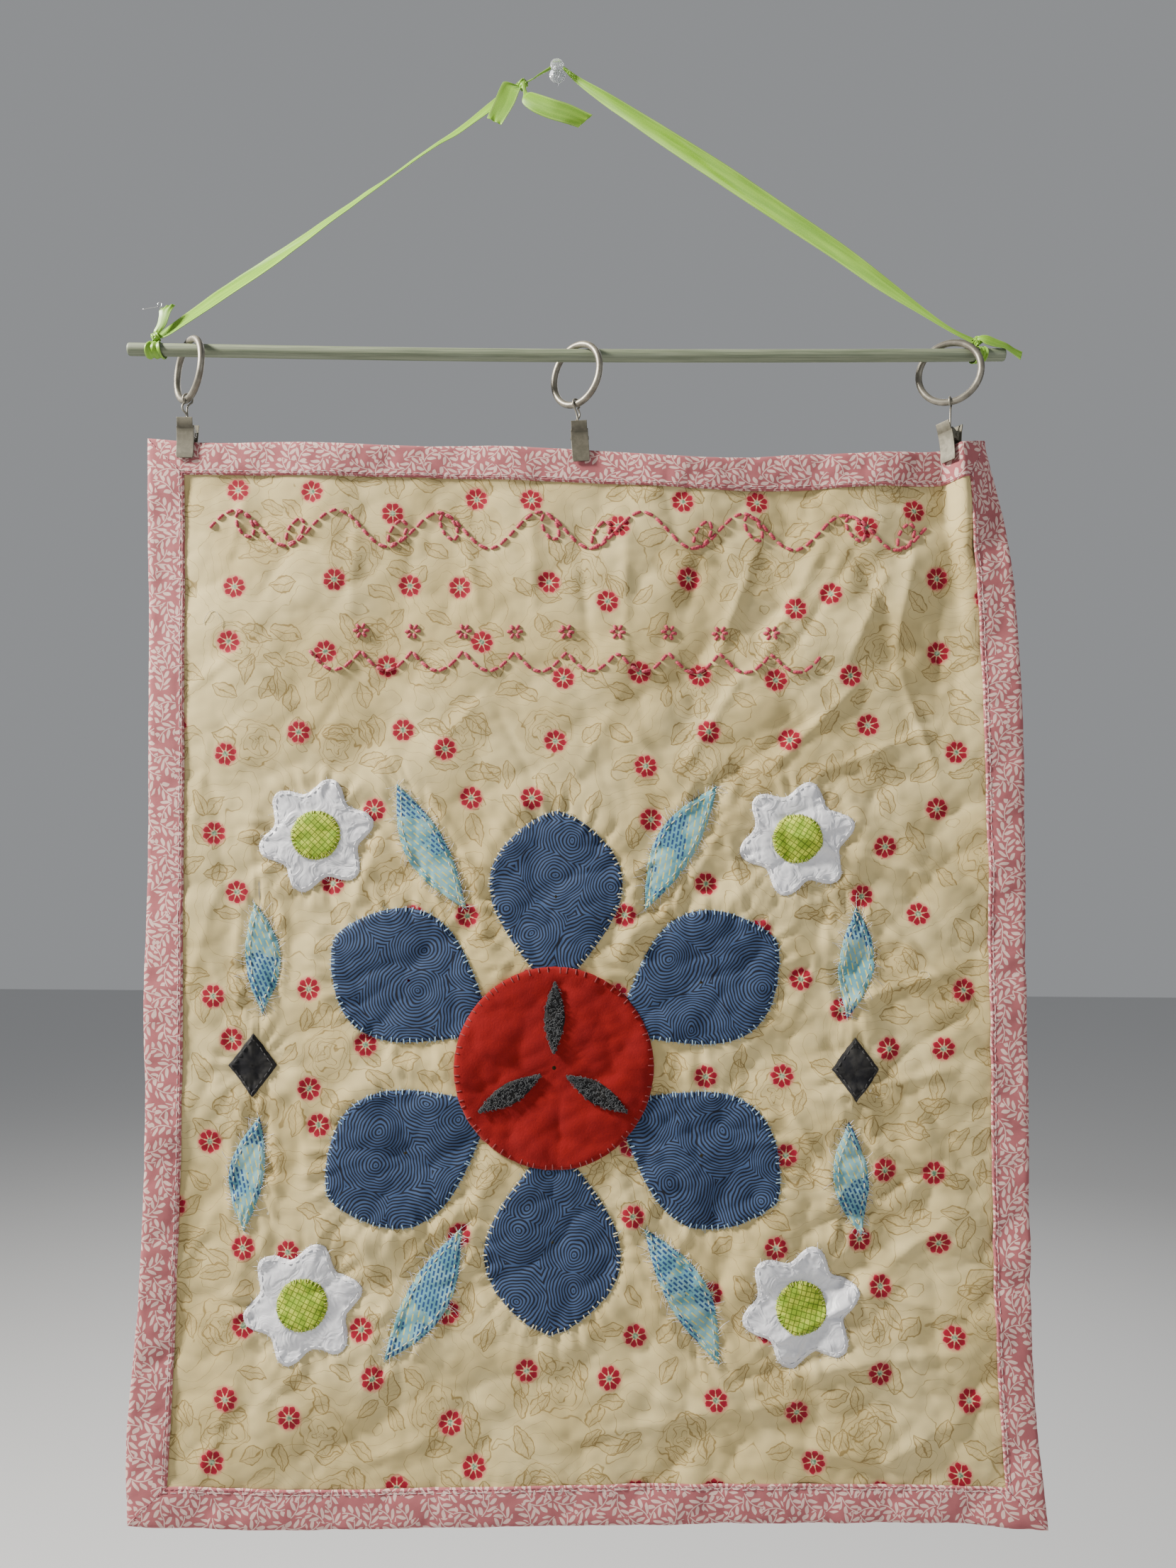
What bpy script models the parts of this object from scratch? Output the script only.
"""Fabric wall hanging on a wooden rod with rings, clips, ribbon and push pin.

Millimetres in the tables, metres in the meshes.  The origin is the middle of the
push pin's flange where it meets the wall; +Z is up and the front faces -Y.
"""

import math

import bmesh
import bpy
import numpy as np
from mathutils import Matrix, Vector

for old in list(bpy.data.objects):
    bpy.data.objects.remove(old, do_unlink=True)

MM = 0.001
PART_GAP = 0.5
CLOTH_THICK = 1.2
PIECE_THICK = 1.0
LAYER_STEP = PIECE_THICK + PART_GAP
HANG_DEPTH = -16.0
LAYER_FRONT = {1: -LAYER_STEP, 2: -2 * LAYER_STEP, 3: -3 * LAYER_STEP}

parts = bpy.data.collections.new("fabric_wall_hanging")
cutters = bpy.data.collections.new("cutters")
bpy.context.scene.collection.children.link(parts)
bpy.context.scene.collection.children.link(cutters)


def material(name, colour, roughness, metallic=0.0):
    """One Principled material in a plain colour."""
    made = bpy.data.materials.new(name)
    made.use_nodes = True
    shader = made.node_tree.nodes["Principled BSDF"]
    shader.inputs["Base Color"].default_value = (*colour, 1.0)
    shader.inputs["Roughness"].default_value = roughness
    shader.inputs["Metallic"].default_value = metallic
    made.diffuse_color = (*colour, 1.0)
    return made


CREAM = material("cream_cotton", (0.62, 0.55, 0.38), 0.9)
PINK = material("pink_binding_cotton", (0.52, 0.22, 0.22), 0.9)
NAVY = material("navy_cotton", (0.03, 0.07, 0.16), 0.9)
RED = material("red_felt", (0.35, 0.01, 0.01), 0.95)
AQUA = material("aqua_cotton", (0.28, 0.48, 0.50), 0.9)
WHITE = material("white_satin", (0.75, 0.76, 0.75), 0.45)
LIME = material("lime_cotton", (0.35, 0.50, 0.05), 0.9)
CHARCOAL = material("charcoal_cotton", (0.012, 0.014, 0.018), 0.9)
BLACK = material("black_looped_thread", (0.02, 0.02, 0.025), 0.9)
RIBBON = material("green_satin_ribbon", (0.30, 0.50, 0.08), 0.35)
WOOD = material("stained_wood", (0.12, 0.15, 0.11), 0.6)
PEWTER = material("brushed_pewter", (0.30, 0.28, 0.24), 0.4, 1.0)
CLIP_METAL = material("clip_steel", (0.20, 0.19, 0.16), 0.45, 1.0)
CLEAR = material("clear_plastic", (0.80, 0.82, 0.84), 0.1)
NEEDLE = material("needle_steel", (0.6, 0.6, 0.6), 0.3, 1.0)


def add(name, mesh, look, smooth=False, home=parts):
    """One object of the hanging from a mesh in metres."""
    mesh.name = name
    mesh.materials.clear()
    mesh.materials.append(look)
    for face in mesh.polygons:
        face.use_smooth = smooth
    made = bpy.data.objects.new(name, mesh)
    home.objects.link(made)
    if home is cutters:
        made.hide_render = True
        made.display_type = "WIRE"
    return made


def mesh_of(name, points, faces):
    """A closed mesh from points in millimetres, with its faces turned outwards."""
    shape = bmesh.new()
    corners = [shape.verts.new(Vector(p) * MM) for p in points]
    for face in faces:
        kept = [corners[k] for n, k in enumerate(face) if k != face[n - 1]]
        if len(kept) > 2:
            shape.faces.new(kept)
    bmesh.ops.recalc_face_normals(shape, faces=shape.faces)
    mesh = bpy.data.meshes.new(name)
    shape.to_mesh(mesh)
    shape.free()
    return mesh


def tube(name, path, radius, look, sides=8, closed=False, home=parts):
    """A round wire along a path of points in millimetres."""
    line = bpy.data.curves.new(name, "CURVE")
    line.dimensions = "3D"
    line.bevel_depth = radius * MM
    line.bevel_resolution = sides // 2 - 2
    line.use_fill_caps = not closed
    run = line.splines.new("POLY")
    run.points.add(len(path) - 1)
    for point, place in zip(run.points, path):
        point.co = (place[0] * MM, place[1] * MM, place[2] * MM, 1.0)
    run.use_cyclic_u = closed
    holder = bpy.data.objects.new(name + "_path", line)
    cutters.objects.link(holder)
    mesh = bpy.data.meshes.new_from_object(holder)
    bpy.data.objects.remove(holder, do_unlink=True)
    shape = bmesh.new()
    shape.from_mesh(mesh)
    bmesh.ops.remove_doubles(shape, verts=shape.verts, dist=0.00001)
    bmesh.ops.recalc_face_normals(shape, faces=shape.faces)
    shape.to_mesh(mesh)
    shape.free()
    return add(name, mesh, look, True, home)


def turned(name, profile, sides, look, place, home=parts, axis="Y"):
    """A turned body from (radius, along) pairs in millimetres, about an axis."""
    points = []
    rings = []
    looped = profile[0] == profile[-1]
    for radius, along in profile[: -1 if looped else None]:
        count = 1 if radius == 0 else sides
        start = len(points)
        for k in range(count):
            angle = 2 * math.pi * k / sides
            across = (radius * math.cos(angle), radius * math.sin(angle))
            if axis == "Y":
                local = (across[0], along, across[1])
            else:
                local = (along, across[0], across[1])
            points.append(tuple(p + q for p, q in zip(local, place)))
        rings.append([start + (k if count > 1 else 0) for k in range(sides)])
    if looped:
        rings.append(rings[0])
    faces = []
    for one, two in zip(rings, rings[1:]):
        for k in range(sides):
            n = (k + 1) % sides
            faces.append((one[k], one[n], two[n], two[k]))
    shape = bmesh.new()
    corners = [shape.verts.new(Vector(p) * MM) for p in points]
    for face in faces:
        kept = list(dict.fromkeys(face))
        shape.faces.new([corners[k] for k in kept])
    bmesh.ops.recalc_face_normals(shape, faces=shape.faces)
    mesh = bpy.data.meshes.new(name)
    shape.to_mesh(mesh)
    shape.free()
    return add(name, mesh, look, True, home)


def combine(target, others, how):
    """Boolean of a target with other objects, applied, and the others removed."""
    for other in others:
        step = target.modifiers.new("combine", "BOOLEAN")
        step.operation = how
        step.solver = "EXACT"
        step.object = other
        bpy.context.view_layer.update()
        graph = bpy.context.evaluated_depsgraph_get()
        mesh = bpy.data.meshes.new_from_object(target.evaluated_get(graph))
        target.modifiers.remove(step)
        target.data = mesh
        bpy.data.objects.remove(other, do_unlink=True)
    return target


# The cloth's grid, shared by everything sewn on it
# Each edge as (share of the way, place in millimetres), as the cloth hangs.
LEFT_EDGE = (
    (0.00, -264.9), (0.10, -262.2), (0.20, -258.5), (0.30, -255.7), (0.42, -252.7),
    (0.54, -251.9), (0.65, -247.7), (0.80, -247.2), (0.95, -250.1), (1.00, -247.2),
)
LEFT_SEAM = (
    (0.00, -241.0), (0.20, -235.5), (0.42, -229.5), (0.65, -225.0), (0.80, -224.5),
    (1.00, -224.6),
)
RIGHT_SEAM = (
    (0.00, 269.5), (0.10, 273.5), (0.20, 276.5), (0.42, 277.5), (0.65, 276.0),
    (0.80, 275.0), (1.00, 279.5),
)
RIGHT_EDGE = (
    (0.00, 285.1), (0.05, 292.1), (0.10, 297.0), (0.14, 299.3), (0.22, 301.4),
    (0.30, 302.6), (0.42, 300.8), (0.65, 299.0), (0.80, 297.1), (0.92, 299.4),
    (1.00, 302.9),
)
TOP_EDGE = (
    (0.00, -266.2), (0.06, -268.8), (0.17, -268.3), (0.29, -269.8), (0.40, -269.3),
    (0.48, -270.9), (0.55, -273.0), (0.63, -276.0), (0.70, -276.2), (0.78, -273.5),
    (0.86, -272.2), (0.94, -269.5), (0.97, -266.0), (1.00, -260.8),
)
TOP_SEAM = (
    (0.00, -290.5), (0.20, -291.0), (0.40, -291.8), (0.55, -295.0), (0.70, -298.5),
    (0.86, -295.0), (0.94, -293.0), (1.00, -285.0),
)
BOTTOM_SEAM = (
    (0.00, -915.5), (0.20, -918.5), (0.40, -915.8), (0.70, -913.0), (1.00, -914.0),
)
BOTTOM_EDGE = (
    (0.00, -938.4), (0.05, -939.9), (0.20, -941.7), (0.30, -940.1), (0.45, -938.3),
    (0.60, -936.9), (0.80, -935.1), (0.92, -934.9), (1.00, -937.2),
)
# Soft ridges (+, towards the front) and troughs (-) of the hanging cloth, each an
# even swell along a line: middle, half length, half width, turn in degrees, height.
FOLDS = (
    {"x": -150, "z": -300, "long": 70, "wide": 26, "turn": 84, "high": 2.6},
    {"x": -60, "z": -305, "long": 60, "wide": 24, "turn": 96, "high": -2.2},
    {"x": 75, "z": -310, "long": 75, "wide": 28, "turn": 82, "high": 3.2},
    {"x": 150, "z": -320, "long": 80, "wide": 24, "turn": 70, "high": -2.6},
    {"x": 205, "z": -315, "long": 60, "wide": 20, "turn": 62, "high": 2.8},
    {"x": 175, "z": -405, "long": 75, "wide": 20, "turn": 38, "high": 2.6},
    {"x": 245, "z": -420, "long": 60, "wide": 18, "turn": 76, "high": -2.4},
    {"x": -195, "z": -440, "long": 85, "wide": 24, "turn": 100, "high": 2.0},
    {"x": -110, "z": -430, "long": 70, "wide": 22, "turn": 68, "high": -1.8},
    {"x": 40, "z": -420, "long": 80, "wide": 24, "turn": 112, "high": 1.8},
    {"x": 215, "z": -520, "long": 85, "wide": 18, "turn": -20, "high": 3.0},
    {"x": 225, "z": -585, "long": 80, "wide": 18, "turn": -32, "high": -2.8},
    {"x": 215, "z": -655, "long": 70, "wide": 20, "turn": 24, "high": 2.6},
    {"x": 235, "z": -740, "long": 75, "wide": 18, "turn": -24, "high": 3.0},
    {"x": 190, "z": -790, "long": 70, "wide": 18, "turn": 34, "high": -2.6},
    {"x": 120, "z": -850, "long": 90, "wide": 22, "turn": 12, "high": 2.4},
    {"x": 0, "z": -880, "long": 80, "wide": 22, "turn": -10, "high": -2.0},
    {"x": -130, "z": -870, "long": 85, "wide": 24, "turn": 20, "high": 2.2},
    {"x": -205, "z": -760, "long": 80, "wide": 22, "turn": 74, "high": -2.2},
    {"x": -215, "z": -610, "long": 90, "wide": 22, "turn": 96, "high": 2.4},
    {"x": -30, "z": -640, "long": 120, "wide": 34, "turn": 50, "high": 1.8},
    {"x": 80, "z": -690, "long": 110, "wide": 32, "turn": 128, "high": -1.6},
    {"x": -248, "z": -350, "long": 60, "wide": 20, "turn": 90, "high": -2.4},
    {"x": 300, "z": -930, "long": 50, "wide": 24, "turn": 60, "high": 3.0},
    {"x": -245, "z": -925, "long": 50, "wide": 24, "turn": 110, "high": 2.6},
)
# The grips' middles along the cloth, where the swells die out.
GRIPS = ((-238.8, -272.0), (17.2, -273.0), (259.6, -272.0))
GRIP_REACH = 36.0
COLUMNS_BETWEEN = 25
ROWS_BETWEEN = 31
# The pinch at the right grip: column place at the top, and depth added there.
PINCH_COLUMNS = (251.0, 255.6, 264.8, 269.5)
PINCH_DEPTH = (4.5, 5.7, -8.0, -4.6)
PINCH_FADE = 95.0
CORNER_BACK = 8.0
CORNER_REACH = (15.0, 60.0)


def along(table, share):
    """The value of an edge table at a share of the way."""
    shares, values = zip(*table)
    return float(np.interp(share, shares, values))


def swell(x, z):
    """Depth of the cloth's middle at a place, from its folds."""
    depth = 0.0
    for fold in FOLDS:
        turn = math.radians(fold["turn"])
        dx, dz = x - fold["x"], z - fold["z"]
        run = (dx * math.cos(turn) + dz * math.sin(turn)) / fold["long"]
        off = (-dx * math.sin(turn) + dz * math.cos(turn)) / fold["wide"]
        depth -= fold["high"] * math.exp(-run * run - off * off)
    for grip_x, grip_z in GRIPS:
        near = ((x - grip_x) ** 2 + (z - grip_z) ** 2) / GRIP_REACH**2
        depth *= 1.0 - math.exp(-near)
    corner = math.exp(-(((x - 292.0) / CORNER_REACH[0]) ** 2) - ((z + 262.0) / CORNER_REACH[1]) ** 2)
    return HANG_DEPTH + depth + CORNER_BACK * corner


def cloth_grid():
    """Grid points of the cloth's front face, in rows from the top."""
    width = RIGHT_EDGE[0][1] - LEFT_EDGE[0][1]
    inner = [k / COLUMNS_BETWEEN for k in range(COLUMNS_BETWEEN + 1)]
    seam_width = RIGHT_SEAM[0][1] - LEFT_SEAM[0][1]
    pinched = [(place - LEFT_SEAM[0][1]) / seam_width for place in PINCH_COLUMNS]
    spaced = [s for s in inner if all(abs(s - p) > 0.012 for p in pinched)]
    shares = sorted(spaced + pinched)
    rows = [k / ROWS_BETWEEN for k in range(ROWS_BETWEEN + 1)]
    grid = []
    for j in range(len(rows) + 2):
        down = 0.0 if j == 0 else 1.0 if j == len(rows) + 1 else None
        line = []
        for i in range(len(shares) + 2):
            guess_u = 0.0 if i == 0 else 1.0 if i == len(shares) + 1 else None
            if guess_u is None:
                at = LEFT_SEAM[0][1] + shares[i - 1] * seam_width
                guess_u = (at - LEFT_EDGE[0][1]) / width
            top, bottom = along(TOP_SEAM, guess_u), along(BOTTOM_SEAM, guess_u)
            if down == 0.0:
                z = along(TOP_EDGE, guess_u)
            elif down == 1.0:
                z = along(BOTTOM_EDGE, guess_u)
            else:
                z = top + (bottom - top) * rows[j - 1]
            v = (z - TOP_EDGE[0][1]) / (BOTTOM_EDGE[0][1] - TOP_EDGE[0][1])
            v = min(max(v, 0.0), 1.0)
            if i == 0:
                x = along(LEFT_EDGE, v)
            elif i == len(shares) + 1:
                x = along(RIGHT_EDGE, v)
            else:
                left, right = along(LEFT_SEAM, v), along(RIGHT_SEAM, v)
                x = left + (right - left) * shares[i - 1]
            y = swell(x, z)
            if 0 < i <= len(shares) and shares[i - 1] in pinched:
                fade = math.exp(-(((z + 268.0) / PINCH_FADE) ** 2))
                y += PINCH_DEPTH[pinched.index(shares[i - 1])] * fade
            line.append(Vector((x, y, z)))
        grid.append(line)
    return grid


GRID = cloth_grid()
ROWS = len(GRID) - 1
COLUMNS = len(GRID[0]) - 1
EDGE_ROOM = LAYER_STEP


def halves(i, j):
    """The two triangles of a cell; corner cells are split along their mitres."""
    a, b, c, d = (i, j), (i + 1, j), (i + 1, j + 1), (i, j + 1)
    if (i, j) in ((COLUMNS - 1, 0), (0, ROWS - 1)):
        return ((a, b, d), (b, c, d))
    return ((a, b, c), (a, c, d))


def layer(name, cells, front, thick, look, inset=0.0, home=parts):
    """A slab of cells of the shared grid, set forward and of even depth."""
    used = {}
    points = []
    faces = []
    edges = {}

    def corner(i, j, back):
        key = (i, j, back)
        if key not in used:
            place = GRID[j][i].copy()
            place.x += inset * ((i == 0) - (i == COLUMNS))
            place.z += inset * ((j == ROWS) - (j == 0))
            place.y += front + (thick if back else 0.0)
            used[key] = len(points)
            points.append(place)
        return used[key]

    for i, j in cells:
        for half in halves(i, j):
            faces.append([corner(*p, False) for p in half])
            faces.append([corner(*p, True) for p in reversed(half)])
            for n in range(3):
                one, two = half[n - 1], half[n]
                if (two, one) in edges:
                    del edges[(two, one)]
                else:
                    edges[(one, two)] = True
    for one, two in edges:
        faces.append(
            (corner(*one, False), corner(*two, False), corner(*two, True), corner(*one, True))
        )
    return add(name, mesh_of(name, points, faces), look, True, home)


# Ground cloth, its raw edge inside the binding
layer(
    "ground_cloth",
    [(i, j) for i in range(COLUMNS) for j in range(ROWS)],
    0.0,
    CLOTH_THICK,
    CREAM,
    EDGE_ROOM,
)


def binding(name, stations, out, slide):
    """One folded strip of the binding: front flap, turned edge and back flap.

    stations: (outer grid index, inner grid index) pairs from mitre to mitre;
    out: direction of the cloth's edge; slide: how far each mitre stands back.
    """
    front = -PART_GAP - PIECE_THICK
    back = CLOTH_THICK + PART_GAP + PIECE_THICK
    points = []
    rings = []
    last = len(stations) - 1
    names = {}
    for n, (outer, inner) in enumerate(stations):
        edge = GRID[outer[1]][outer[0]]
        seam = GRID[inner[1]][inner[0]]
        at_mitre = n in (0, last)
        shift = slide * (1 if n == 0 else -1) if at_mitre else Vector()
        near = 0 if n <= 1 else last if n >= last - 1 else None
        seam_shift = slide * (1 if near == 0 else -1) if near is not None else Vector()
        edge_in = edge - out * (EDGE_ROOM - PART_GAP)
        if at_mitre:
            corner = Vector((1 if outer[0] else -1, 0, -1 if outer[1] else 1))
            edge_in = edge - corner * (EDGE_ROOM - PART_GAP)
        ring = []
        for key, base, depth, moved in (
            (("seam", inner, 0), seam, front, seam_shift),
            (("edge", n, 1), edge, front, shift),
            (("edge", n, 2), edge, back, shift),
            (("seam", inner, 3), seam, back, seam_shift),
            (("seam", inner, 4), seam, back - PIECE_THICK, seam_shift),
            (("edge", n, 5), edge_in, back - PIECE_THICK, shift),
            (("edge", n, 6), edge_in, front + PIECE_THICK, shift),
            (("seam", inner, 7), seam, front + PIECE_THICK, seam_shift),
        ):
            if key not in names:
                names[key] = len(points)
                points.append(base + moved + Vector((0, depth, 0)))
            ring.append(names[key])
        rings.append(ring)
    faces = []
    sides = len(rings[0])
    for n in range(last):
        one, two = rings[n], rings[n + 1]
        for k in range(sides):
            m = (k + 1) % sides
            quad = (one[k], one[m], two[m], two[k])
            unique = list(dict.fromkeys(quad))
            if len(unique) == 4:
                # split along the same diagonal as the cloth's cell
                flat = k in (0, 2, 4, 6)
                if flat:
                    outer_one = one[m] if k in (0, 4) else one[k]
                    inner_one = one[k] if k in (0, 4) else one[m]
                    outer_two = two[m] if k in (0, 4) else two[k]
                    inner_two = two[k] if k in (0, 4) else two[m]
                    if name in ("binding_left", "binding_top"):
                        faces.append((outer_one, inner_two, outer_two))
                        faces.append((outer_one, inner_one, inner_two))
                    else:
                        faces.append((inner_one, outer_two, outer_one))
                        faces.append((inner_one, inner_two, outer_two))
                else:
                    faces.append(unique)
            elif len(unique) == 3:
                faces.append(unique)
    faces.append(list(rings[0][:2]) + [rings[0][6], rings[0][7]])
    faces.append([rings[0][1], rings[0][2], rings[0][5], rings[0][6]])
    faces.append([rings[0][2], rings[0][3], rings[0][4], rings[0][5]])
    faces.append(list(rings[last][:2]) + [rings[last][6], rings[last][7]])
    faces.append([rings[last][1], rings[last][2], rings[last][5], rings[last][6]])
    faces.append([rings[last][2], rings[last][3], rings[last][4], rings[last][5]])
    return add(name, mesh_of(name, points, faces), PINK, True)


MITRE_HALF_GAP = 0.36
binding(
    "binding_left",
    [((0, 0), (1, 1))]
    + [((0, j), (1, j)) for j in range(1, ROWS)]
    + [((0, ROWS), (1, ROWS - 1))],
    Vector((-1, 0, 0)),
    Vector((0, 0, -MITRE_HALF_GAP)),
)
binding(
    "binding_right",
    [((COLUMNS, 0), (COLUMNS - 1, 1))]
    + [((COLUMNS, j), (COLUMNS - 1, j)) for j in range(1, ROWS)]
    + [((COLUMNS, ROWS), (COLUMNS - 1, ROWS - 1))],
    Vector((1, 0, 0)),
    Vector((0, 0, -MITRE_HALF_GAP)),
)
binding(
    "binding_top",
    [((0, 0), (1, 1))]
    + [((i, 0), (i, 1)) for i in range(1, COLUMNS)]
    + [((COLUMNS, 0), (COLUMNS - 1, 1))],
    Vector((0, 0, 1)),
    Vector((MITRE_HALF_GAP, 0, 0)),
)
binding(
    "binding_bottom",
    [((0, ROWS), (1, ROWS - 1))]
    + [((i, ROWS), (i, ROWS - 1)) for i in range(1, COLUMNS)]
    + [((COLUMNS, ROWS), (COLUMNS - 1, ROWS - 1))],
    Vector((0, 0, -1)),
    Vector((MITRE_HALF_GAP, 0, 0)),
)


# Sewn pieces, each cut from a slab that lies parallel to the cloth
MEDALLION = Vector((5.0, 0.0, -668.0))


def sewn(name, outline, level, look):
    """A flat piece with an outline of (x, z) points, on the cloth's own folds."""
    xs, zs = zip(*outline)
    room = 4.0
    cells = []
    for j in range(1, ROWS - 1):
        for i in range(1, COLUMNS - 1):
            cell = [GRID[j + b][i + a] for a, b in ((0, 0), (1, 0), (0, 1), (1, 1))]
            clear = (
                max(p.x for p in cell) < min(xs) - room
                or min(p.x for p in cell) > max(xs) + room
                or max(p.z for p in cell) < min(zs) - room
                or min(p.z for p in cell) > max(zs) + room
            )
            if not clear:
                cells.append((i, j))
    slab = layer(name, cells, LAYER_FRONT[level], PIECE_THICK, look)
    count = len(outline)
    near, far = HANG_DEPTH - 40.0, HANG_DEPTH + 40.0
    points = [(x, near, z) for x, z in outline] + [(x, far, z) for x, z in outline]
    faces = [tuple(range(count)), tuple(range(2 * count - 1, count - 1, -1))]
    for k in range(count):
        n = (k + 1) % count
        faces.append((k, n, count + n, count + k))
    shears = add(name + "_cut", mesh_of(name + "_cut", points, faces), look, False, cutters)
    combine(slab, [shears], "INTERSECT")
    return slab


def placed(shape, turn, middle):
    """Outline points turned in degrees and moved to a middle."""
    cosine, sine = math.cos(math.radians(turn)), math.sin(math.radians(turn))
    return [
        (middle[0] + a * cosine - b * sine, middle[1] + a * sine + b * cosine)
        for a, b in shape
    ]


def petal(start, length, width, steps):
    """A petal along +x: narrow at its root and round at its tip."""
    side = []
    for k in range(1, steps):
        way = k / steps
        half = 0.5 * width * math.sin(math.pi * way**1.35) ** 0.72
        side.append((start + length * way, half))
    lower = [(a, -b) for a, b in side]
    return [(start, 0.0)] + lower + [(start + length, 0.0)] + side[::-1]


def leaf(length, width, bend, steps):
    """A pointed leaf along +x, slightly curved."""
    upper, lower = [], []
    for k in range(1, steps):
        way = k / steps
        arch = bend * math.sin(math.pi * way)
        half = 0.5 * width * math.sin(math.pi * way)
        upper.append((length * (way - 0.5), arch + half))
        lower.append((length * (way - 0.5), arch - half))
    return [(-length / 2, 0.0)] + lower + [(length / 2, 0.0)] + upper[::-1]


def rosette(radius, lobes, depth, points):
    """A round piece with a lobed rim."""
    rim = []
    for k in range(points):
        angle = 2 * math.pi * k / points
        reach = radius * (1.0 - depth * (0.5 - 0.5 * math.cos(lobes * angle)))
        rim.append((reach * math.cos(angle), reach * math.sin(angle)))
    return rim


MIDDLE = (MEDALLION.x, MEDALLION.z)
PETAL_TURNS = (90, 30, -30, -90, -150, 150)
for number, turn in enumerate(PETAL_TURNS, 1):
    sewn(f"navy_petal_{number}", placed(petal(44.0, 116.0, 84.0, 10), turn, MIDDLE), 1, NAVY)
sewn("red_disc", placed(rosette(62.0, 1, 0.0, 32), 0, MIDDLE), 2, RED)

RADIAL_LEAVES = ((60, 158.0), (120, 158.0), (240, 158.0), (300, 158.0))
for number, (turn, reach) in enumerate(RADIAL_LEAVES, 1):
    spot = (
        MIDDLE[0] + reach * math.cos(math.radians(turn)),
        MIDDLE[1] + reach * math.sin(math.radians(turn)),
    )
    sewn(f"aqua_leaf_{number}", placed(leaf(92.0, 26.0, 4.0, 8), turn, spot), 1, AQUA)
SIDE_LEAVES = ((-186, 66, 96), (186, 66, 84), (-186, -66, -96), (186, -66, -84))
for number, (dx, dz, turn) in enumerate(SIDE_LEAVES, 5):
    spot = (MIDDLE[0] + dx, MIDDLE[1] + dz)
    sewn(f"aqua_leaf_{number}", placed(leaf(70.0, 22.0, -3.0, 7), turn, spot), 1, AQUA)

DAISIES = ((-152, 143), (152, 143), (-152, -143), (152, -143))
for number, (dx, dz) in enumerate(DAISIES, 1):
    spot = (MIDDLE[0] + dx, MIDDLE[1] + dz)
    sewn(f"white_rosette_{number}", placed(rosette(37.0, 6, 0.26, 36), 15, spot), 1, WHITE)
    sewn(f"lime_centre_{number}", placed(rosette(15.5, 1, 0.0, 14), 0, spot), 2, LIME)

DIAMONDS = ((-187, 0), (187, 0))
for number, (dx, dz) in enumerate(DIAMONDS, 1):
    spot = (MIDDLE[0] + dx, MIDDLE[1] + dz)
    diamond = ((-15.0, 0.0), (0.0, -20.0), (15.0, 0.0), (0.0, 20.0))
    sewn(f"charcoal_diamond_{number}", placed(diamond, 0, spot), 1, CHARCOAL)

SEED_TURNS = (90, 210, 330)
for number, turn in enumerate(SEED_TURNS, 1):
    spot = (
        MIDDLE[0] + 31.0 * math.cos(math.radians(turn)),
        MIDDLE[1] + 31.0 * math.sin(math.radians(turn)),
    )
    sewn(f"black_seed_{number}", placed(leaf(44.0, 13.0, 0.0, 6), turn, spot), 3, BLACK)

# Rod, a thin dowel that sags a little in its middle
ROD_RADIUS = 4.2
ROD_LINE = (
    (-280.0, -205.9), (-275.0, -205.95), (-200.0, -206.8), (-110.0, -207.6),
    (-20.0, -208.0), (90.0, -207.6), (200.0, -206.6), (292.0, -205.3), (297.0, -205.2),
)
rod = tube(
    "rod",
    [(x, HANG_DEPTH, z) for x, z in ROD_LINE],
    ROD_RADIUS,
    WOOD,
    12,
)

# Rings over the rod, each turned about the vertical
RING_RADIUS = 20.0
RING_WIRE = 2.2
RINGS = (
    {"name": "left", "x": -239.5, "turn": 49.5, "drop": 13.2},
    {"name": "middle", "x": 15.2, "turn": 41.4, "drop": 13.2},
    {"name": "right", "x": 260.4, "turn": 27.5, "drop": 12.0},
)
RING_STEPS = 28


def rod_height(x):
    """Height of the rod's middle at x."""
    xs, zs = zip(*ROD_LINE)
    return float(np.interp(x, xs, zs))


RING_LOW = {}
for ring in RINGS:
    centre_z = rod_height(ring["x"]) - ring["drop"]
    facing = math.radians(-ring["turn"])
    path = []
    for k in range(RING_STEPS):
        angle = 2 * math.pi * k / RING_STEPS
        run = RING_RADIUS * math.sin(angle)
        path.append(
            (
                ring["x"] + run * math.cos(facing),
                HANG_DEPTH + run * math.sin(facing),
                centre_z + RING_RADIUS * math.cos(angle),
            )
        )
    tube("ring_" + ring["name"], path, RING_WIRE, PEWTER, 8, closed=True)
    RING_LOW[ring["name"]] = Vector((ring["x"], HANG_DEPTH, centre_z - RING_RADIUS))

# Clips: two sprung jaws on a pivot, and the hook that hangs each from its ring
CLIP_WIDE = 11.2
CLIP_TALL = 26.0
JAW_THICK = 0.8
PIVOT_DOWN = 9.2
PIVOT_RADIUS = 1.0
SPRING_RADIUS = 2.2
CLIPS = (
    {"name": "left", "x": -239.0, "top": -254.4, "turn": 0.0, "lean": 0.0},
    {"name": "middle", "x": 17.0, "top": -254.8, "turn": 0.0, "lean": -4.0},
    {"name": "right", "x": 259.6, "top": -252.9, "turn": -55.0, "lean": -3.0},
)
GRIP_MIDDLE = HANG_DEPTH + CLOTH_THICK / 2
JAW_SIDE = ((3.1, -26.0), (3.2, -15.0), (4.1, -9.2), (6.6, 0.0))
EAR = ((4.4, -4.4), (0.4, -6.2), (-2.2, -9.2), (0.3, -11.6), (3.6, -12.0))


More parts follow.
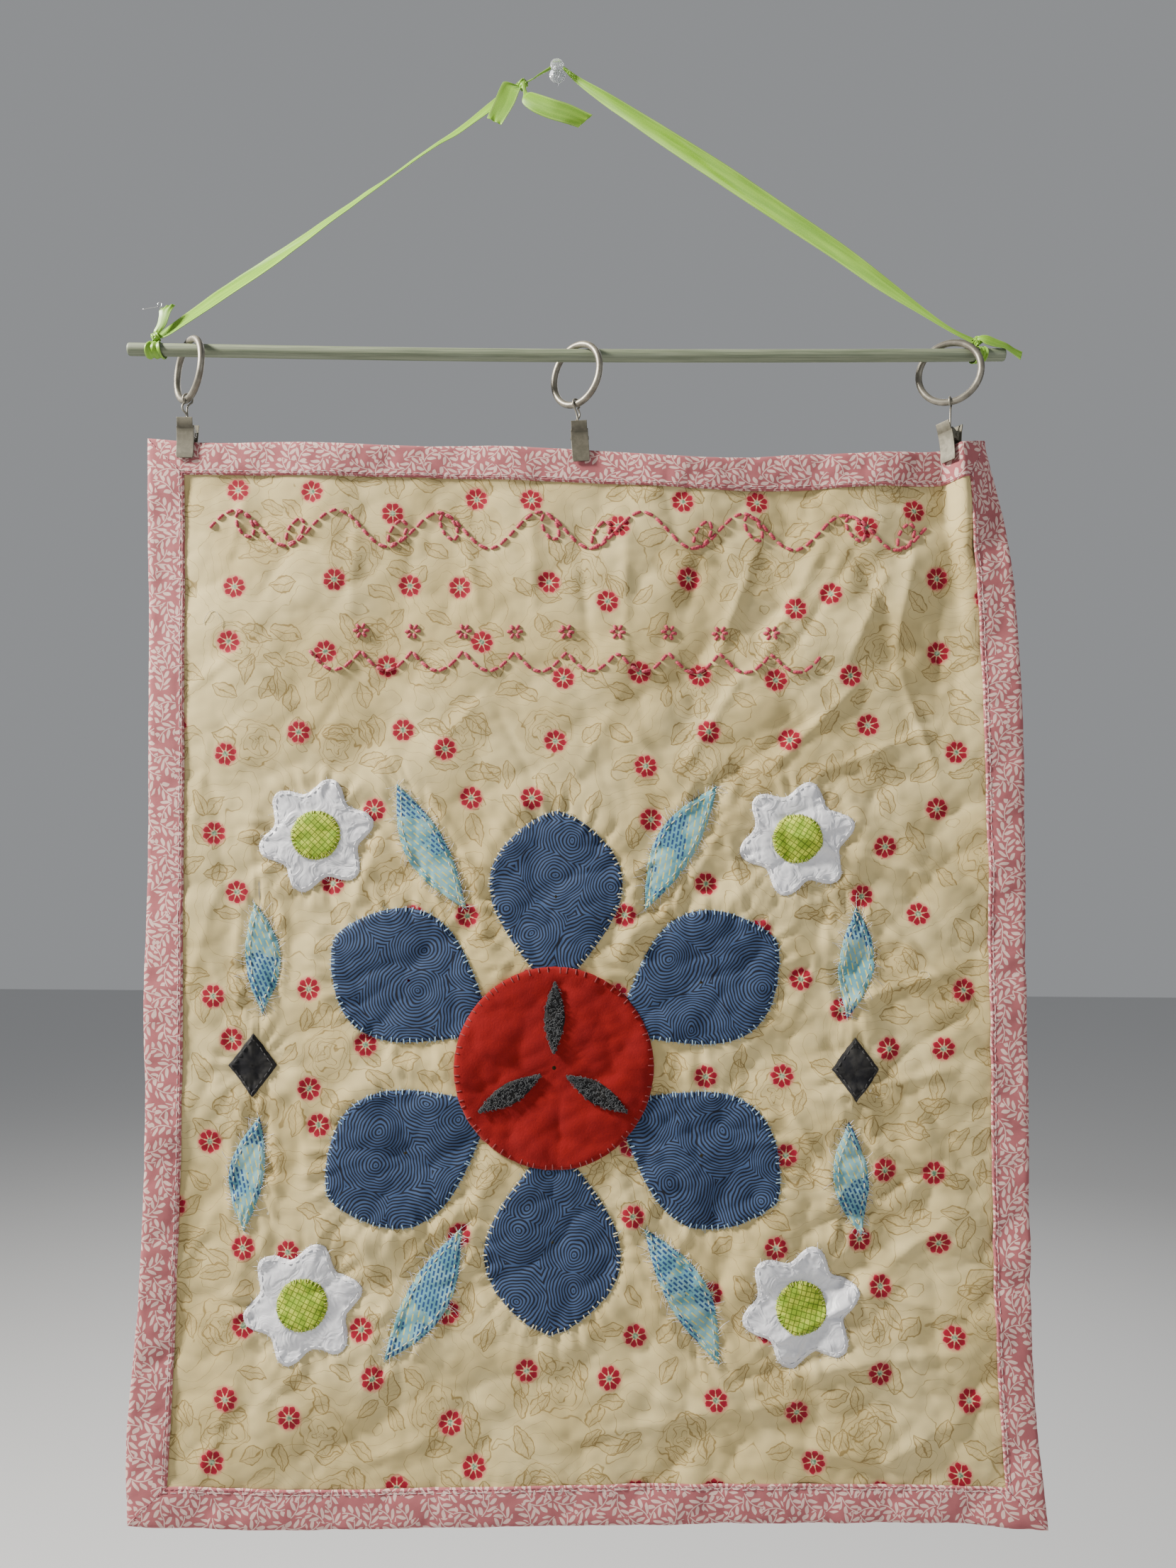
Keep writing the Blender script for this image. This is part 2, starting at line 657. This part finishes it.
def side_prism(name, outline, low, high, home):
    """A plate from a side outline of (depth, height), between two x places."""
    count = len(outline)
    points = [(low, d, z) for d, z in outline] + [(high, d, z) for d, z in outline]
    faces = [tuple(range(count)), tuple(range(2 * count - 1, count - 1, -1))]
    for k in range(count):
        n = (k + 1) % count
        faces.append((k, n, count + n, count + k))
    return add(name, mesh_of(name, points, faces), CLIP_METAL, False, home)


def clip_place(clip):
    """Where a clip stands: its own frame to the hanging's, in metres."""
    spot = Vector((clip["x"], GRIP_MIDDLE, clip["top"])) * MM
    turn = Matrix.Rotation(math.radians(clip["turn"]), 4, "Z")
    lean = Matrix.Rotation(math.radians(clip["lean"]), 4, "Y")
    return Matrix.Translation(spot) @ turn @ lean


for clip in CLIPS:
    stand = clip_place(clip)
    for jaw, way, ear_in in (("front", -1, 0.0), ("back", 1, 1.2)):
        inner = [(way * d, z) for d, z in JAW_SIDE]
        outer = [(way * (d + JAW_THICK), z) for d, z in reversed(JAW_SIDE)]
        half = CLIP_WIDE / 2
        name = f"clip_{clip['name']}_{jaw}_jaw"
        plate = side_prism(name, inner + outer, -half, half, parts)
        ears = []
        for side in (-1, 1):
            at = side * (half - ear_in)
            ear = side_prism(
                name + "_ear",
                [(way * (d + 0.15), z) for d, z in EAR],
                min(at, at - side * JAW_THICK),
                max(at, at - side * JAW_THICK),
                cutters,
            )
            ears.append(ear)
        combine(plate, ears, "UNION")
        hole = turned(
            name + "_hole",
            ((0, -8.0), (PIVOT_RADIUS + 0.35, -8.0), (PIVOT_RADIUS + 0.35, 8.0), (0, 8.0)),
            10,
            CLIP_METAL,
            (0.0, 0.0, -PIVOT_DOWN),
            cutters,
            "X",
        )
        combine(plate, [hole], "DIFFERENCE")
        plate.data.transform(stand)
    pivot = turned(
        f"clip_{clip['name']}_pivot_spring",
        (
            (0, -5.9), (PIVOT_RADIUS, -5.9), (PIVOT_RADIUS, -3.0), (SPRING_RADIUS, -3.0),
            (SPRING_RADIUS, -1.15), (PIVOT_RADIUS, -1.15), (PIVOT_RADIUS, 1.15),
            (SPRING_RADIUS, 1.15), (SPRING_RADIUS, 3.0), (PIVOT_RADIUS, 3.0),
            (PIVOT_RADIUS, 5.9), (0, 5.9),
        ),
        10,
        CLIP_METAL,
        (0.0, 0.0, -PIVOT_DOWN),
        parts,
        "X",
    )
    pivot.data.transform(stand)

HOOK_WIRE = 0.65
HOOK_LOOP = RING_WIRE + 0.35 + HOOK_WIRE
HOOK_EYE = PIVOT_RADIUS + 0.35 + HOOK_WIRE
LOOP_ANGLES = (238, 208, 178, 148, 118, 88, 58, 28, -2, -30)
EYE_ANGLES = (76, 40, 4, -32, -68, -104, -140, -176, -212, -246)
for clip, ring in zip(CLIPS, RINGS):
    low = RING_LOW[clip["name"]]
    facing = math.radians(-ring["turn"])
    through = Vector((-math.sin(facing), math.cos(facing), 0.0))
    if clip["name"] != "right":
        through = -through
    path = []
    for angle in LOOP_ANGLES:
        reach = through * (HOOK_LOOP * math.cos(math.radians(angle)))
        path.append(low + reach + Vector((0, 0, HOOK_LOOP * math.sin(math.radians(angle)))))
    stand = clip_place(clip)
    eye = stand @ (Vector((0.0, 0.0, -PIVOT_DOWN)) * MM) / MM
    deep = (stand.to_3x3() @ Vector((0.0, 1.0, 0.0))).normalized()
    path.append(low + Vector((0, 0, -5.6)))
    path.append(low.lerp(eye, 0.62) + Vector((0, 0, 1.0)))
    for angle in EYE_ANGLES:
        reach = deep * (HOOK_EYE * math.cos(math.radians(angle)))
        path.append(eye + reach + Vector((0, 0, HOOK_EYE * math.sin(math.radians(angle)))))
    tube("hook_" + clip["name"], path, HOOK_WIRE, CLIP_METAL, 6)

# Push pin: a turned body with a blind bore, and the needle in it
PIN_BODY = (
    (0.9, 0.0), (5.2, 0.0), (5.6, -0.5), (5.2, -1.4), (3.0, -2.6), (2.2, -4.0),
    (2.2, -7.2), (3.2, -8.6), (4.3, -9.6), (4.6, -10.8), (4.0, -11.8), (0, -12.2),
)
PIN_BORE = ((0, -8.0), (0.9, -8.0))
PIN_NEEDLE = ((0, -7.6), (0.5, -7.6), (0.5, 8.0), (0, 10.5))
turned("push_pin", PIN_BORE + PIN_BODY, 16, CLEAR, (0, 0, 0))
turned("push_pin_needle", PIN_NEEDLE, 8, NEEDLE, (0, 0, 0))

# Ribbon: two lengths, knotted together beside the pin and tied round the rod
RIBBON_THICK = 1.0


def ribbon(name, stations, home=parts):
    """A flat band through stations, each a pair of places on its two edges."""
    points = []
    rings = []
    ones = [Vector(one) for one, two in stations]
    twos = [Vector(two) for one, two in stations]
    middles = [(one + two) / 2 for one, two in zip(ones, twos)]
    for n, (one, two) in enumerate(zip(ones, twos)):
        ahead = middles[min(n + 1, len(middles) - 1)] - middles[max(n - 1, 0)]
        across = (two - one).normalized()
        normal = ahead.cross(across).normalized() * (RIBBON_THICK / 2)
        rings.append([len(points) + k for k in range(4)])
        points += [one - normal, two - normal, two + normal, one + normal]
    faces = [tuple(rings[0]), tuple(reversed(rings[-1]))]
    for here, after in zip(rings, rings[1:]):
        for k in range(4):
            m = (k + 1) % 4
            faces.append((here[k], here[m], after[m], after[k]))
    return add(name, mesh_of(name, points, faces), RIBBON, True, home)


def lump(name, place, size, home=cutters):
    """A round knot with half sizes along x, y and z."""
    shape = bmesh.new()
    bmesh.ops.create_icosphere(shape, subdivisions=2, radius=1.0)
    for corner in shape.verts:
        corner.co = (Vector(c * s for c, s in zip(corner.co, size)) + Vector(place)) * MM
    mesh = bpy.data.meshes.new(name)
    shape.to_mesh(mesh)
    shape.free()
    return add(name, mesh, RIBBON, True, home)


def band(name, x, wide, home=cutters):
    """The ribbon's turn round the rod."""
    inner, outer = ROD_RADIUS + 0.35, ROD_RADIUS + 0.35 + RIBBON_THICK
    half = wide / 2
    section = ((inner, -half), (outer, -half), (outer, half), (inner, half), (inner, -half))
    return turned(name, section, 16, RIBBON, (x, HANG_DEPTH, rod_height(x)), home, "X")


# Edge places of each length, upper or left edge first, from knot to knot or cut end
LEFT_RUN = (
    ((-261.5, -16.5, -197.0), (-257.5, -18.5, -199.5)),
    ((-253.0, -15.0, -188.5), (-248.5, -19.0, -195.0)),
    ((-231.5, -12.5, -169.5), (-226.0, -17.5, -178.0)),
    ((-218.5, -11.0, -158.5), (-212.0, -16.5, -167.0)),
    ((-196.5, -10.0, -142.0), (-190.0, -15.5, -150.5)),
    ((-174.0, -9.0, -125.5), (-169.0, -15.0, -133.0)),
    ((-152.0, -7.5, -108.0), (-148.0, -15.0, -115.5)),
    ((-129.5, -6.0, -90.5), (-126.0, -14.5, -97.5)),
    ((-107.0, -5.5, -73.5), (-104.5, -14.0, -80.0)),
    ((-84.0, -5.0, -55.0), (-82.0, -12.5, -61.5)),
    ((-67.5, -5.0, -43.0), (-65.5, -10.0, -49.5)),
    ((-44.0, -6.0, -23.0), (-41.0, -8.5, -29.5)),
    ((-26.0, -6.0, -9.0), (-23.5, -8.0, -14.0)),
)
LEFT_TAIL = (
    ((-262.0, -18.5, -197.5), (-261.0, -19.0, -198.5)),
    ((-262.5, -19.5, -195.0), (-257.0, -20.0, -194.5)),
    ((-260.5, -19.5, -190.0), (-254.5, -20.0, -190.5)),
    ((-260.0, -18.5, -184.0), (-253.0, -19.5, -184.5)),
    ((-260.0, -18.0, -179.5), (-252.0, -19.0, -180.5)),
    ((-257.5, -17.5, -177.5), (-250.0, -18.0, -175.5)),
)
APEX_TAIL = (
    ((-26.5, -8.5, -13.5), (-24.5, -8.5, -15.0)),
    ((-35.0, -10.5, -12.5), (-25.0, -11.0, -19.0)),
    ((-38.0, -11.0, -16.5), (-26.0, -11.0, -21.5)),
    ((-42.5, -11.0, -28.0), (-29.0, -11.0, -29.5)),
    ((-47.0, -10.0, -38.0), (-37.0, -10.0, -43.0)),
)
RIGHT_RUN = (
    ((-17.5, -7.0, -8.5), (-19.0, -4.5, -7.0)),
    ((-12.0, -7.5, -4.5), (-13.0, -4.0, -3.5)),
    ((-6.5, -7.0, 0.0), (-6.5, -4.0, 0.0)),
    ((-3.0, -7.0, 2.5), (-3.0, -4.0, 2.5)),
    ((0.0, -7.0, 3.0), (0.0, -4.0, 3.0)),
    ((3.0, -7.0, 2.5), (3.0, -4.0, 2.5)),
    ((16.0, -8.0, -7.0), (13.5, -5.5, -9.5)),
    ((34.5, -9.5, -18.5), (30.5, -6.0, -24.0)),
    ((53.5, -10.0, -30.5), (48.0, -7.0, -37.5)),
    ((81.5, -11.0, -49.0), (75.0, -8.0, -58.0)),
    ((118.0, -12.5, -74.0), (111.5, -9.5, -84.5)),
    ((155.0, -14.0, -101.5), (149.0, -11.0, -111.5)),
    ((191.0, -15.5, -128.5), (185.5, -12.5, -137.5)),
    ((218.0, -16.5, -151.0), (213.0, -14.0, -158.5)),
    ((244.5, -17.5, -174.5), (242.5, -15.5, -178.0)),
    ((262.5, -17.5, -188.0), (261.0, -16.5, -190.0)),
    ((278.0, -17.0, -195.0), (276.0, -17.5, -198.5)),
)
RIGHT_TAIL = (
    ((276.5, -18.5, -196.5), (277.0, -19.0, -198.5)),
    ((279.5, -20.5, -194.5), (279.5, -21.0, -198.0)),
    ((284.0, -21.5, -194.5), (282.5, -22.0, -200.5)),
    ((290.0, -21.5, -197.0), (288.5, -22.0, -202.5)),
    ((296.5, -21.0, -199.5), (295.0, -21.5, -203.5)),
    ((302.0, -20.0, -202.5), (300.5, -20.5, -206.5)),
    ((307.5, -19.0, -204.5), (306.0, -19.5, -210.0)),
)
FAR_TAIL = (
    ((-21.5, -11.5, -12.5), (-24.0, -11.5, -13.5)),
    ((-20.0, -12.0, -20.5), (-22.5, -12.0, -22.0)),
    ((-17.0, -13.5, -21.5), (-23.0, -12.5, -28.5)),
    ((-10.5, -15.0, -24.5), (-16.5, -13.5, -35.0)),
    ((-1.0, -16.0, -28.5), (-6.0, -13.5, -40.0)),
    ((10.0, -15.0, -31.5), (4.5, -13.0, -43.0)),
    ((24.5, -13.0, -37.5), (15.0, -11.0, -45.0)),
)
left_run = ribbon("ribbon_left", LEFT_RUN)
combine(
    left_run,
    [
        band("left_band", -262.0, 10.5),
        lump("left_knot", (-261.8, -17.2, -198.4), (5.2, 4.2, 3.6)),
        ribbon("left_tail", LEFT_TAIL, cutters),
        lump("apex_knot", (-23.6, -6.8, -12.0), (4.4, 3.8, 3.8)),
        ribbon("apex_tail", APEX_TAIL, cutters),
    ],
    "UNION",
)
right_run = ribbon("ribbon_right", RIGHT_RUN)
combine(
    right_run,
    [
        band("right_band", 281.4, 6.6),
        lump("right_knot", (278.2, -17.0, -197.0), (4.6, 4.2, 3.6)),
        ribbon("right_tail", RIGHT_TAIL, cutters),
    ],
    "UNION",
)
ribbon("ribbon_right_end", FAR_TAIL)
